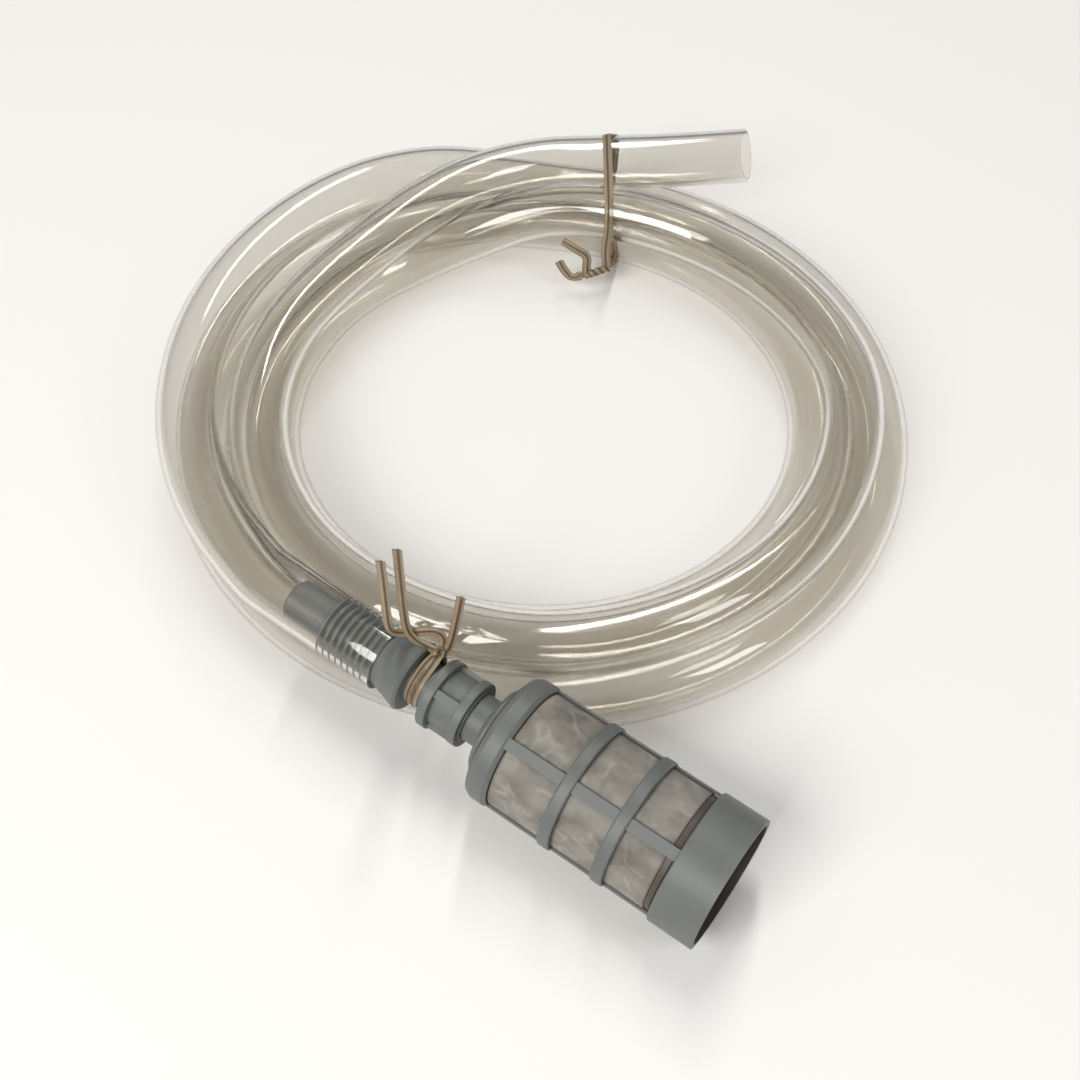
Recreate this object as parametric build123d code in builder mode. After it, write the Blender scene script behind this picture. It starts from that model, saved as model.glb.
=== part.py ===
"""Gravel vacuum siphon: a coiled clear hose with a swivelling strainer nozzle and a foot valve.

The nozzle lies on the floor along X, with its mouth towards +X and tilted down to rest on its rim.
Its hose tail lies on the coil, which spreads out towards +Y. All sizes are in millimetres.
Places along the nozzle are distances from the mouth, measured up the nozzle's own axis.
"""

import os
from math import asin, atan, atan2, cos, degrees, floor, hypot, pi, radians, sin, sqrt, tan

from build123d import *

# ---- Driving dimensions -------------------------------------------------------------------------
# Lengths along the nozzle, from the mouth up to the pilot
SKIRT_LENGTH = 13.2
WINDOW_LENGTH = 50.8  # from the skirt to the shoulder ring, hoops included
SHOULDER_LENGTH = 7.4
BOSS_LENGTH = 2.4
NECK_LENGTH = 6.2
SLEEVE_LENGTH = 13.5
SPIGOT_LENGTH = 6.6  # the bare part between the sleeve and the rim
RIM_LENGTH = 9.9
HOSE_STOP = 2.0  # from the rim to the first barb
BARB_LENGTH = 17.5
PILOT_LENGTH = 13.5

HOSE_OD = 19.0
HOSE_WALL = 1.55

# Strainer cage. The steps are how far each piece's outside lies inside the skirt's.
MOUTH_OD = 38.0
SKIRT_WALL = 1.6
CAGE_LIP = 0.2  # how much narrower the cage's bore is than the skirt's
HOOP_STEP = 0.35
HOOP_WIDTH = 3.6
FIRST_HOOP = 15.9  # from the skirt to the middle of the hoop next to it
LAST_HOOP = 18.4  # from the shoulder ring to the middle of the hoop next to it
SHOULDER_STEP = 0.5
WEB_THICKNESS = 4.2
RIB_STEP = 0.95
RIB_WIDTH = 3.2
RIB_COUNT = 4
RIB_TURN = 28.0  # degrees from straight up to the first rib

# Filter cartridge
MESH_THICKNESS = 0.3
FRAME_WALL = 1.3
BAND_LENGTH = 4.5
BAR_WIDTH = 3.0
GRILLE_THICKNESS = 1.4
GRILLE_RECESS = 0.7  # from the skirt's inner end to the grille
GRILLE_WEB = 0.95  # what is left between the grille's holes
PLUG_WALL = 1.25
PLUG_LENGTH = 3.0
FINGER_HOLE = 6.0

# Neck collar
NECK_OD = 14.1
NECK_WALL = 1.85
BOSS_OD = 26.4
SLEEVE_STEP = 1.25  # how far the sleeve stands out from the neck
SLEEVE_WALL = 1.55
STOP_DEPTH = 4.0  # from the sleeve's start to the step between the narrow bore and the spigot's
GRIP_RING_WIDTH = 2.8
GRIP_RING_INSET = 0.4  # from each end of the sleeve to its ring
GRIP_RING_STEPS = (1.5, 1.95)  # how far the rings stand out from the sleeve
GRIP_RIB_WIDTH = 2.4
GRIP_RIB_STEP = 1.2

# Hose tail
RIM_STEP = 1.05  # how far the rim stands out from the hose
BARB_COUNT = 8
BARB_DEPTH = 1.15
PILOT_GAP = 1.95  # between the pilot and the hose's bore
TAIL_WALL = 1.05  # under the O-ring's groove

# Foot valve
BALL_ROOM = 1.1  # around the ball in the neck
SEAT_LIP = 1.1  # how much smaller the seat's bore is than the ball, in radius
SEAT_LENGTH = 5.8  # of the seat's plug in the neck
SEAT_CHAMFER = 0.9
SEAT_FLANGE_WIDTH = 3.45
SEAT_FLANGE_THICKNESS = 1.4
BALL_STOP_THICKNESS = 1.4
BALL_STOP_RIM = 0.95
BALL_STOP_SPOKE = 1.6
RING_SECTION = 1.05  # thickness of both O-rings
CLIP_WIDTH = 1.0
CLIP_DEPTH = 0.45  # how far the clip stands out of the spigot
CLIP_ROOT_DEPTH = 0.8  # how deep the clip sits in the spigot
CLIP_INSET = 2.5  # from the sleeve's end to the middle of the clip
CLIP_GAP = 2.5

# Coil
INNER_LANE = 91.5  # radius of the inner turn's centre line on the floor
TOP_INSET = 6.0  # how far the turn on top leans in over the inner turn
TOP_OVERHANG = 1.5  # how far it reaches out over the outer turn's centre line
TAIL_OVERHANG = 2.1  # how far outside the outer turn the hose leaves the coil for the nozzle
TAIL_OFFSET = 5.2  # how far the hose tail's end lies past the coil's tangent point
REST_GAP = 0.43  # between the outer turn on the floor and the hose that lies over it
MIDDLE_TURN = 290.0  # how far round from the far side the turn on top lies over both floor turns
LAYER_ROUNDING = 6.0
COIL_TURN = 34.9  # degrees from the coil's far side to the nozzle's square direction
FREE_INSET = 6.0  # how far inside the outer turn the free end leaves the coil
FREE_LIFT = 0.3
FREE_REACH = ((25, 0), (50, 1.2), (75, 4.0))  # the free end's points: distance on, distance outwards

# Twist ties
TIE_WIDTH = 3.0
TIE_THICKNESS = 1.0
TIE_CORE = 1.8
FREE_TIE_TURN = -12.2  # degrees from the coil's far side to the tie that holds the free end
KNOT_HEIGHT = 10.0
TIE_TAILS = ((9.5, 2.0, 42.0), (-4.5, 10.0, 23.0))  # how far up the nozzle, across and over the knot

# Clearances
RUNNING_FIT = 0.05  # radial, where one piece turns or slides in another
SEATED_FIT = 0.02  # radial, where pieces are pushed together
MESH_GAP = 0.3  # between the cage and the cartridge that slides in it
BALL_GAP = 0.05
SPIGOT_END_GAP = 0.3
BARB_GRIP = 0.1  # how far each barb presses into the hose
SOFT_GAP = 0.9  # between the coil and the rigid nozzle
TIE_SLACK = 0.5  # between the far tie and the coil
OVERLAP = 0.5  # how far joined shapes of one moulding run into each other

# ---- Derived sizes ------------------------------------------------------------------------------
SHOULDER_START = SKIRT_LENGTH + WINDOW_LENGTH
SHOULDER_END = SHOULDER_START + SHOULDER_LENGTH
BOSS_END = SHOULDER_END + BOSS_LENGTH
SLEEVE_START = BOSS_END + NECK_LENGTH
SLEEVE_END = SLEEVE_START + SLEEVE_LENGTH
RIM_PLACE = SLEEVE_END + SPIGOT_LENGTH
HOSE_END = RIM_PLACE + RIM_LENGTH
BARB_START = HOSE_END + HOSE_STOP
BARB_END = BARB_START + BARB_LENGTH
NOZZLE_LENGTH = BARB_END + PILOT_LENGTH

MOUTH_RADIUS = MOUTH_OD / 2
SKIRT_INNER = MOUTH_RADIUS - SKIRT_WALL
CAGE_INNER = SKIRT_INNER - CAGE_LIP
HOOP_PLACES = (SKIRT_LENGTH + FIRST_HOOP, SHOULDER_START - LAST_HOOP)
SHOULDER_RADIUS = MOUTH_RADIUS - SHOULDER_STEP
WEB_START = SHOULDER_END - WEB_THICKNESS

MESH_RADIUS = CAGE_INNER - MESH_GAP
FRAME_OUTER = MESH_RADIUS - MESH_THICKNESS - SEATED_FIT
FRAME_INNER = FRAME_OUTER - FRAME_WALL
GRILLE_START = SKIRT_LENGTH + GRILLE_RECESS
GRILLE_END = GRILLE_START + GRILLE_THICKNESS
CARTRIDGE_END = SHOULDER_START - SEATED_FIT
PLUG_OUTER = FRAME_INNER - SEATED_FIT
PLUG_INNER = PLUG_OUTER - PLUG_WALL
# Two rings of holes fill the grille between the finger hole and the plug.
GRILLE_HOLE = (PLUG_INNER - FINGER_HOLE / 2 - 3 * GRILLE_WEB) / 2
GRILLE_PITCH = GRILLE_HOLE + GRILLE_WEB
GRILLE_RINGS = [FINGER_HOLE / 2 + GRILLE_WEB + GRILLE_HOLE / 2 + ring * GRILLE_PITCH for ring in (0, 1)]

NECK_RADIUS = NECK_OD / 2
NECK_BORE = NECK_RADIUS - NECK_WALL
SLEEVE_RADIUS = NECK_RADIUS + SLEEVE_STEP
SPIGOT_BORE = SLEEVE_RADIUS - SLEEVE_WALL
SPIGOT_RADIUS = SPIGOT_BORE - RUNNING_FIT
STOP_STEP = SLEEVE_START + STOP_DEPTH
SPIGOT_START = STOP_STEP + SPIGOT_END_GAP
CLIP_PLACE = SLEEVE_END - CLIP_INSET
RING_PLACE = (SPIGOT_START + CLIP_PLACE) / 2
RING_ROOT = SPIGOT_RADIUS - RING_SECTION
RING_GROOVE = RING_SECTION / 2 + 0.2
TAIL_BORE = RING_ROOT - TAIL_WALL

HOSE_RADIUS = HOSE_OD / 2
HOSE_BORE = HOSE_RADIUS - HOSE_WALL
RIM_RADIUS = HOSE_RADIUS + RIM_STEP
BARB_CREST = HOSE_BORE + BARB_GRIP
BARB_ROOT = BARB_CREST - BARB_DEPTH
PILOT_RADIUS = HOSE_BORE - PILOT_GAP

BALL_RADIUS = NECK_BORE - BALL_ROOM
SEAT_BORE = BALL_RADIUS - SEAT_LIP
SEAT_RADIUS = NECK_BORE - RUNNING_FIT
SEAT_END = WEB_START + SEAT_LENGTH
BALL_PLACE = SEAT_END - SEAT_CHAMFER + sqrt((BALL_RADIUS + BALL_GAP) ** 2 - SEAT_BORE**2)
BALL_STOP_START = STOP_STEP - BALL_STOP_THICKNESS
BALL_TRAVEL = BALL_STOP_START - BALL_RADIUS - 2 * BALL_GAP - BALL_PLACE

OUTER_LANE = INNER_LANE + HOSE_OD
COIL_HEIGHT = 2 * HOSE_OD
COIL_INNER = INNER_LANE - HOSE_RADIUS
COIL_OUTER = OUTER_LANE + HOSE_RADIUS
TOP_INNER = COIL_INNER - TOP_INSET
TOP_OUTER = OUTER_LANE + TOP_OVERHANG
FREE_LANE = OUTER_LANE - FREE_INSET
TOP_INNER_REACH = FREE_LANE - HOSE_RADIUS - SOFT_GAP  # where the free end passes it
TAIL_RADIUS = OUTER_LANE + TAIL_OVERHANG
COIL_EXIT = NOZZLE_LENGTH + HOSE_RADIUS / 2  # where the hose leaves the coil for the barbs

# The mouth's rim rests on the floor and the hose tail rests on the coil's outer turn.
TAIL_HEIGHT = 1.5 * HOSE_OD + REST_GAP
TILT = asin(TAIL_HEIGHT / hypot(NOZZLE_LENGTH, MOUTH_RADIUS)) - atan(MOUTH_RADIUS / NOZZLE_LENGTH)
MOUTH_X = (NOZZLE_LENGTH * cos(TILT) - (MOUTH_RADIUS - PILOT_RADIUS) * sin(TILT)) / 2
MOUTH_CENTRE = Vector(MOUTH_X, 0, MOUTH_RADIUS * cos(TILT))
INWARD = Vector(-cos(TILT), 0, sin(TILT))
NOZZLE_AXIS = Axis(MOUTH_CENTRE, INWARD)

TAIL_TIP = MOUTH_CENTRE + INWARD * NOZZLE_LENGTH
COIL_CENTRE = Vector(TAIL_TIP.X + TAIL_OFFSET, TAIL_RADIUS, 0)
COIL_AXIS = Axis(COIL_CENTRE, (0, 0, 1))


# ---- Helpers ------------------------------------------------------------------------------------
def along(place):
    """Point on the nozzle's axis at a distance from the mouth."""
    return MOUTH_CENTRE + INWARD * place


def across(place):
    """Plane square to the nozzle's axis at a distance from the mouth, facing up the nozzle."""
    return Plane(origin=along(place), x_dir=(0, 1, 0), z_dir=INWARD)


def profile_plane(turn=0.0):
    """Plane through the nozzle's axis: local X runs up the nozzle and local Y points outwards."""
    upward = Vector(sin(TILT), 0, cos(TILT))
    outward = upward * cos(radians(turn)) + Vector(0, -1, 0) * sin(radians(turn))
    return Plane(origin=MOUTH_CENTRE, x_dir=INWARD, z_dir=INWARD.cross(outward))


def turned(outline, rounding=0.0, mode=Mode.ADD):
    """Turn an outline of (distance from the mouth, radius) points about the nozzle's axis."""
    with BuildSketch(profile_plane(), mode=Mode.PRIVATE) as profile:
        with BuildLine():
            FilletPolyline(*outline, radius=rounding, close=True)
        make_face()
    revolve(profile.sketch, axis=NOZZLE_AXIS, mode=mode)


def band(start, end, inner, outer, rounding=0.0, mode=Mode.ADD):
    """Turn a plain ring between two distances from the mouth and two radii."""
    turned([(start, inner), (end, inner), (end, outer), (start, outer)], rounding, mode)


def rib(turn, start, end, inner, outer, width):
    """Add a flat bar along the nozzle, at a turn from straight up and between two radii."""
    with BuildSketch(profile_plane(turn), mode=Mode.PRIVATE) as side:
        with Locations(((start + end) / 2, (inner + outer) / 2)):
            Rectangle(end - start, outer - inner)
    extrude(side.sketch, amount=width / 2, both=True)


def o_ring(place, radius):
    """Add a ring of round section whose centre line has the given radius."""
    with BuildSketch(profile_plane(), mode=Mode.PRIVATE) as section:
        with Locations((place, radius)):
            Circle(RING_SECTION / 2)
    revolve(section.sketch, axis=NOZZLE_AXIS)


def coil_place(turn, radius, height):
    """Point on the coil, with its turn counted in degrees from the coil's far side."""
    angle = radians(90 + COIL_TURN + turn)
    return COIL_CENTRE + Vector(radius * cos(angle), radius * sin(angle), height)


def coil_plane(turn):
    """Upright plane through the coil's axis: local X is the radius and local Y the height."""
    outward = coil_place(turn, 1, 0) - COIL_CENTRE
    return Plane(origin=COIL_CENTRE, x_dir=outward, z_dir=outward.cross(Vector(0, 0, 1)))


def coil_layer(sweep_angle, inner, outer, low, high):
    """Add part of the coil's shape from its far side round, between two radii and two heights."""
    with BuildSketch(coil_plane(0), mode=Mode.PRIVATE) as section:
        with Locations(((inner + outer) / 2, (low + high) / 2)):
            RectangleRounded(outer - inner, high - low, LAYER_ROUNDING)
    revolve(section.sketch, axis=COIL_AXIS, revolution_arc=sweep_angle)


def bend_radii(points):
    """Radius of each arc of a free run: 0.45 of the shorter run over the tangent of half the turn."""
    radii = []
    for before, corner, after in zip(points, points[1:], points[2:]):
        run_in = corner - before
        run_out = after - corner
        half_turn = radians(run_in.get_angle(run_out)) / 2
        radii.append(0.45 * min(run_in.length, run_out.length) / tan(half_turn))
    return radii


RIB_TURNS = [RIB_TURN + index * 360 / RIB_COUNT for index in range(RIB_COUNT)]
os.makedirs("parts", exist_ok=True)

# ---- Hose tail: pilot, barbs, flared rim and the spigot that the strainer turns on --------------
barb_pitch = BARB_LENGTH / BARB_COUNT
barb_outline = []
for index in range(BARB_COUNT):
    ridge = BARB_START + index * barb_pitch
    barb_outline += [
        (ridge, BARB_ROOT),
        (ridge + 0.30 * barb_pitch, BARB_CREST),
        (ridge + 0.55 * barb_pitch, BARB_CREST),
        (ridge + 0.90 * barb_pitch, BARB_ROOT),
    ]

clip_start = CLIP_PLACE - CLIP_WIDTH / 2
clip_end = CLIP_PLACE + CLIP_WIDTH / 2
clip_root = SPIGOT_RADIUS - CLIP_ROOT_DEPTH
groove_top = SLEEVE_RADIUS
with BuildPart() as hose_tail:
    turned(
        [
            (SPIGOT_START, TAIL_BORE),
            (SPIGOT_START, SPIGOT_RADIUS),
            (RIM_PLACE, SPIGOT_RADIUS),
            (RIM_PLACE, RIM_RADIUS - 0.6),
            (RIM_PLACE + 0.8, RIM_RADIUS),
            (HOSE_END, HOSE_BORE - SEATED_FIT),
            *barb_outline,
            (BARB_END, PILOT_RADIUS),
            (NOZZLE_LENGTH - 0.8, PILOT_RADIUS),
            (NOZZLE_LENGTH, PILOT_RADIUS - 0.8),
            (NOZZLE_LENGTH, TAIL_BORE),
        ]
    )
    band(RING_PLACE - RING_GROOVE, RING_PLACE + RING_GROOVE, RING_ROOT, groove_top, mode=Mode.SUBTRACT)
    band(clip_start - SEATED_FIT, clip_end + SEATED_FIT, clip_root, groove_top, mode=Mode.SUBTRACT)
hose_tail.part.label = "hose_tail"
export_step(hose_tail.part, "parts/hose_tail.step")

with BuildPart() as tail_o_ring:
    o_ring(RING_PLACE, RING_ROOT + RING_SECTION / 2)
tail_o_ring.part.label = "tail_o_ring"
export_step(tail_o_ring.part, "parts/tail_o_ring.step")

# The clip is split so that it can be sprung into its groove.
with BuildPart() as retaining_clip:
    band(clip_start, clip_end, clip_root + SEATED_FIT, SPIGOT_RADIUS + CLIP_DEPTH)
    with BuildSketch(across(clip_start - 1)):
        with Locations((SPIGOT_RADIUS, 0)):
            Rectangle(2 * SPIGOT_RADIUS, CLIP_GAP)
    extrude(amount=CLIP_WIDTH + 2, mode=Mode.SUBTRACT)
retaining_clip.part.label = "retaining_clip"
export_step(retaining_clip.part, "parts/retaining_clip.step")

# ---- Neck collar: ribbed grip, bare neck and shoulder boss ---------------------------------------
first_ring = SLEEVE_START + GRIP_RING_INSET
last_ring = SLEEVE_END - GRIP_RING_INSET - GRIP_RING_WIDTH
grip_root = SLEEVE_RADIUS - OVERLAP
with BuildPart() as neck_collar:
    turned(
        [
            (WEB_START, NECK_BORE),
            (STOP_STEP, NECK_BORE),
            (STOP_STEP, SPIGOT_BORE),
            (SLEEVE_END, SPIGOT_BORE),
            (SLEEVE_END, SLEEVE_RADIUS),
            (SLEEVE_START, SLEEVE_RADIUS),
            (SLEEVE_START, NECK_RADIUS),
            (BOSS_END + 1.6, NECK_RADIUS),
            (BOSS_END + 0.6, NECK_RADIUS + 1.8),
            (BOSS_END, BOSS_OD / 2 - 1.2),
            (BOSS_END - 1.0, BOSS_OD / 2),
            (SHOULDER_END, BOSS_OD / 2),
            (SHOULDER_END, NECK_RADIUS),
            (WEB_START, NECK_RADIUS),
        ]
    )
    for ring_start, ring_step in zip((first_ring, last_ring), GRIP_RING_STEPS):
        ring_end = ring_start + GRIP_RING_WIDTH
        band(ring_start, ring_end, grip_root, SLEEVE_RADIUS + ring_step, rounding=0.35)
    for turn in RIB_TURNS:
        rib(turn, first_ring + 1, last_ring + 1, grip_root, SLEEVE_RADIUS + GRIP_RIB_STEP, GRIP_RIB_WIDTH)
    band(
        clip_start - RUNNING_FIT,
        clip_end + RUNNING_FIT,
        SPIGOT_BORE - OVERLAP,
        SPIGOT_RADIUS + CLIP_DEPTH + RUNNING_FIT,
        mode=Mode.SUBTRACT,
    )
neck_collar.part.label = "neck_collar"
export_step(neck_collar.part, "parts/neck_collar.step")

# ---- Strainer cage: skirt, hoops, ribs, shoulder ring and web in one moulding --------------------
cage_root = CAGE_INNER - OVERLAP
with BuildPart() as strainer_cage:
    for turn in RIB_TURNS:
        rib(turn, SKIRT_LENGTH - 1, SHOULDER_START + 1, cage_root, MOUTH_RADIUS - RIB_STEP, RIB_WIDTH)
    for place in HOOP_PLACES:
        hoop_start = place - HOOP_WIDTH / 2
        band(hoop_start, hoop_start + HOOP_WIDTH, cage_root, MOUTH_RADIUS - HOOP_STEP, rounding=0.55)
    turned(
        [
            (0, SKIRT_INNER - 1),
            (0, MOUTH_RADIUS),
            (SKIRT_LENGTH - 0.3, MOUTH_RADIUS),
            (SKIRT_LENGTH, MOUTH_RADIUS - 0.3),
            (SKIRT_LENGTH, SKIRT_INNER - 1),
        ]
    )
    turned(
        [
            (SHOULDER_START, cage_root),
            (SHOULDER_START, SHOULDER_RADIUS - 0.9),
            (SHOULDER_START + 1.2, SHOULDER_RADIUS),
            (SHOULDER_END - 2.4, SHOULDER_RADIUS),
            (SHOULDER_END - 0.8, SHOULDER_RADIUS - 0.8),
            (SHOULDER_END, SHOULDER_RADIUS - 2.6),
            (SHOULDER_END, NECK_RADIUS + SEATED_FIT),
            (WEB_START, NECK_RADIUS + SEATED_FIT),
            (WEB_START, cage_root),
        ]
    )
    band(SKIRT_LENGTH - 2, WEB_START, 0, CAGE_INNER, mode=Mode.SUBTRACT)
    band(-1, SKIRT_LENGTH, 0, SKIRT_INNER, mode=Mode.SUBTRACT)
strainer_cage.part.label = "strainer_cage"
export_step(strainer_cage.part, "parts/strainer_cage.step")

# ---- Foot valve ----------------------------------------------------------------------------------
seat_ring_place = (WEB_START + SEAT_END) / 2
seat_ring_root = SEAT_RADIUS - RING_SECTION
seat_flange_start = WEB_START - SEAT_FLANGE_THICKNESS
with BuildPart() as valve_seat:
    turned(
        [
            (seat_flange_start, SEAT_BORE),
            (seat_flange_start, SEAT_RADIUS + SEAT_FLANGE_WIDTH),
            (WEB_START, SEAT_RADIUS + SEAT_FLANGE_WIDTH),
            (WEB_START, SEAT_RADIUS),
            (SEAT_END, SEAT_RADIUS),
            (SEAT_END, SEAT_BORE + SEAT_CHAMFER),
            (SEAT_END - SEAT_CHAMFER, SEAT_BORE),
        ]
    )
    band(
        seat_ring_place - RING_GROOVE,
        seat_ring_place + RING_GROOVE,
        seat_ring_root,
        NECK_RADIUS,
        mode=Mode.SUBTRACT,
    )
valve_seat.part.label = "valve_seat"
export_step(valve_seat.part, "parts/valve_seat.step")

with BuildPart() as seat_o_ring:
    o_ring(seat_ring_place, seat_ring_root + RING_SECTION / 2)
seat_o_ring.part.label = "seat_o_ring"
export_step(seat_o_ring.part, "parts/seat_o_ring.step")

with BuildPart() as check_ball:
    with Locations(along(BALL_PLACE)):
        Sphere(BALL_RADIUS)
check_ball.part.label = "check_ball"
export_step(check_ball.part, "parts/check_ball.step")

# The stop is an open wheel, so that water passes when the ball is lifted against it.
stop_radius = NECK_BORE - SEATED_FIT
with BuildPart() as ball_stop:
    band(BALL_STOP_START, STOP_STEP, stop_radius - BALL_STOP_RIM, stop_radius)
    with BuildSketch(across(BALL_STOP_START)):
        with PolarLocations(0, 2, angular_range=180):
            Rectangle(2 * stop_radius - BALL_STOP_RIM, BALL_STOP_SPOKE)
    extrude(amount=BALL_STOP_THICKNESS)
ball_stop.part.label = "ball_stop"
export_step(ball_stop.part, "parts/ball_stop.step")

# ---- Filter cartridge ----------------------------------------------------------------------------
bar_outer = sqrt(FRAME_OUTER**2 - (BAR_WIDTH / 2) ** 2)
first_bar = GRILLE_END + BAND_LENGTH - OVERLAP
last_bar = CARTRIDGE_END - BAND_LENGTH + OVERLAP
with BuildPart() as mesh_frame:
    band(GRILLE_END, GRILLE_END + BAND_LENGTH, FRAME_INNER, FRAME_OUTER)
    band(CARTRIDGE_END - BAND_LENGTH, CARTRIDGE_END, FRAME_INNER, FRAME_OUTER)
    for turn in RIB_TURNS:
        rib(turn, first_bar, last_bar, FRAME_INNER, bar_outer, BAR_WIDTH)
mesh_frame.part.label = "mesh_frame"
export_step(mesh_frame.part, "parts/mesh_frame.step")

with BuildPart() as filter_mesh:
    band(GRILLE_END, CARTRIDGE_END, MESH_RADIUS - MESH_THICKNESS, MESH_RADIUS)
filter_mesh.part.label = "filter_mesh"
export_step(filter_mesh.part, "parts/filter_mesh.step")

with BuildPart() as end_grille:
    turned(
        [
            (GRILLE_START, 0),
            (GRILLE_START, MESH_RADIUS),
            (GRILLE_END, MESH_RADIUS),
            (GRILLE_END, PLUG_OUTER),
            (GRILLE_END + PLUG_LENGTH, PLUG_OUTER),
            (GRILLE_END + PLUG_LENGTH, PLUG_INNER),
            (GRILLE_END, PLUG_INNER),
            (GRILLE_END, 0),
        ]
    )
    with BuildSketch(across(GRILLE_START - 1)):
        Circle(FINGER_HOLE / 2)
        for distance in GRILLE_RINGS:
            with PolarLocations(distance, floor(2 * pi * distance / GRILLE_PITCH)):
                Circle(GRILLE_HOLE / 2)
    extrude(amount=GRILLE_THICKNESS + 2, mode=Mode.SUBTRACT)
end_grille.part.label = "end_grille"
export_step(end_grille.part, "parts/end_grille.step")

with BuildPart() as end_mesh:
    band(GRILLE_END, GRILLE_END + MESH_THICKNESS, 0, PLUG_INNER - SEATED_FIT)
end_mesh.part.label = "end_mesh"
export_step(end_mesh.part, "parts/end_mesh.step")

# ---- Hose ----------------------------------------------------------------------------------------
# The coil's solid has the outer shape of all its turns: a floor layer two turns wide, and above it
# the turns that lie on top, which leave room for the nozzle and for the free end.
exit_offset = along(COIL_EXIT) - COIL_CENTRE
tail_turn = (degrees(atan2(exit_offset.Y, exit_offset.X)) - 90 - COIL_TURN) % 360
top_low = HOSE_OD - LAYER_ROUNDING
tie_outer = COIL_OUTER + TIE_THICKNESS + TIE_SLACK
tie_inner = TOP_INNER - TIE_THICKNESS - TIE_SLACK
tie_top = COIL_HEIGHT + 2 * TIE_THICKNESS
with BuildPart() as hose_coil:
    coil_layer(360, COIL_INNER, COIL_OUTER, 0, HOSE_OD)
    coil_layer(360, TOP_INNER, TOP_INNER_REACH, top_low, COIL_HEIGHT)
    coil_layer(MIDDLE_TURN, COIL_INNER, TOP_OUTER, top_low, COIL_HEIGHT)
    coil_layer(tail_turn + 4, OUTER_LANE - HOSE_RADIUS, COIL_OUTER, top_low, COIL_HEIGHT)
    # Room for the nozzle, whose hose tail starts square to the coil's cut face.
    with BuildSketch(across(COIL_EXIT)):
        Circle(RIM_RADIUS + SOFT_GAP)
    extrude(amount=-COIL_EXIT, mode=Mode.SUBTRACT)
    with BuildSketch(across(SLEEVE_START)):
        Circle(MOUTH_RADIUS + SOFT_GAP)
    extrude(amount=-SLEEVE_START, mode=Mode.SUBTRACT)
    # Room for the tie under the turns.
    with BuildSketch(coil_plane(FREE_TIE_TURN)):
        with Locations(((tie_inner + tie_outer) / 2, 0)):
            Rectangle(tie_outer - tie_inner, 2 * (TIE_THICKNESS + TIE_SLACK))
    extrude(amount=TIE_WIDTH / 2 + TIE_SLACK, both=True, mode=Mode.SUBTRACT)
hose_coil.part.label = "hose_coil"
export_step(hose_coil.part, "parts/hose_coil.step")

with BuildPart() as hose_tail_end:
    with BuildSketch(across(HOSE_END)):
        Circle(HOSE_RADIUS)
        Circle(HOSE_BORE, mode=Mode.SUBTRACT)
    extrude(amount=COIL_EXIT - HOSE_END)
hose_tail_end.part.label = "hose_tail_end"
export_step(hose_tail_end.part, "parts/hose_tail_end.step")

# The free end leaves the coil's top square to its cut face at the far side, and runs almost straight.
free_height = COIL_HEIGHT - HOSE_RADIUS + FREE_LIFT
free_tangent = (coil_place(0, 1, 0) - COIL_CENTRE).cross(Vector(0, 0, 1))
free_route = [coil_place(0, FREE_LANE, free_height)]
for distance, outwards in FREE_REACH:
    free_route.append(coil_place(0, FREE_LANE + outwards, free_height) + free_tangent * distance)
free_radii = bend_radii(free_route)
with BuildPart() as hose_free_end:
    with BuildLine() as free_line:
        FilletPolyline(*free_route, radius=free_radii)
    with BuildSketch(Plane(origin=free_line.line @ 0, z_dir=free_line.line % 0)):
        Circle(HOSE_RADIUS)
        Circle(HOSE_BORE, mode=Mode.SUBTRACT)
    sweep()
hose_free_end.part.label = "hose_free_end"
export_step(hose_free_end.part, "parts/hose_free_end.step")

# ---- Twist ties ----------------------------------------------------------------------------------
# The far tie goes once round the coil and the free end, and is twisted shut on the coil's inside.
tie_corners = [(tie_inner, 0), (tie_outer, 0), (tie_outer, tie_top), (tie_inner, tie_top)]
with BuildPart() as twist_tie_coil:
    with BuildSketch(coil_plane(FREE_TIE_TURN)):
        with BuildLine():
            FilletPolyline(*tie_corners, radius=5 * TIE_THICKNESS, close=True)
        make_face()
        offset(amount=-TIE_THICKNESS, mode=Mode.SUBTRACT)
    extrude(amount=TIE_WIDTH / 2, both=True)
    knot_route = [
        coil_place(FREE_TIE_TURN, tie_inner + TIE_THICKNESS / 2, KNOT_HEIGHT),
        coil_place(FREE_TIE_TURN - 1, tie_inner - 5.0, KNOT_HEIGHT - 3.0),
        coil_place(FREE_TIE_TURN + 6, tie_inner - 6.0, KNOT_HEIGHT - 3.0),
    ]
    with BuildLine() as knot_line:
        FilletPolyline(*knot_route, radius=TIE_CORE)
    with BuildSketch(Plane(origin=knot_line.line @ 0, z_dir=knot_line.line % 0)):
        Circle(TIE_CORE / 2)
    sweep()
twist_tie_coil.part.label = "twist_tie_coil"
export_step(twist_tie_coil.part, "parts/twist_tie_coil.step")

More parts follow.
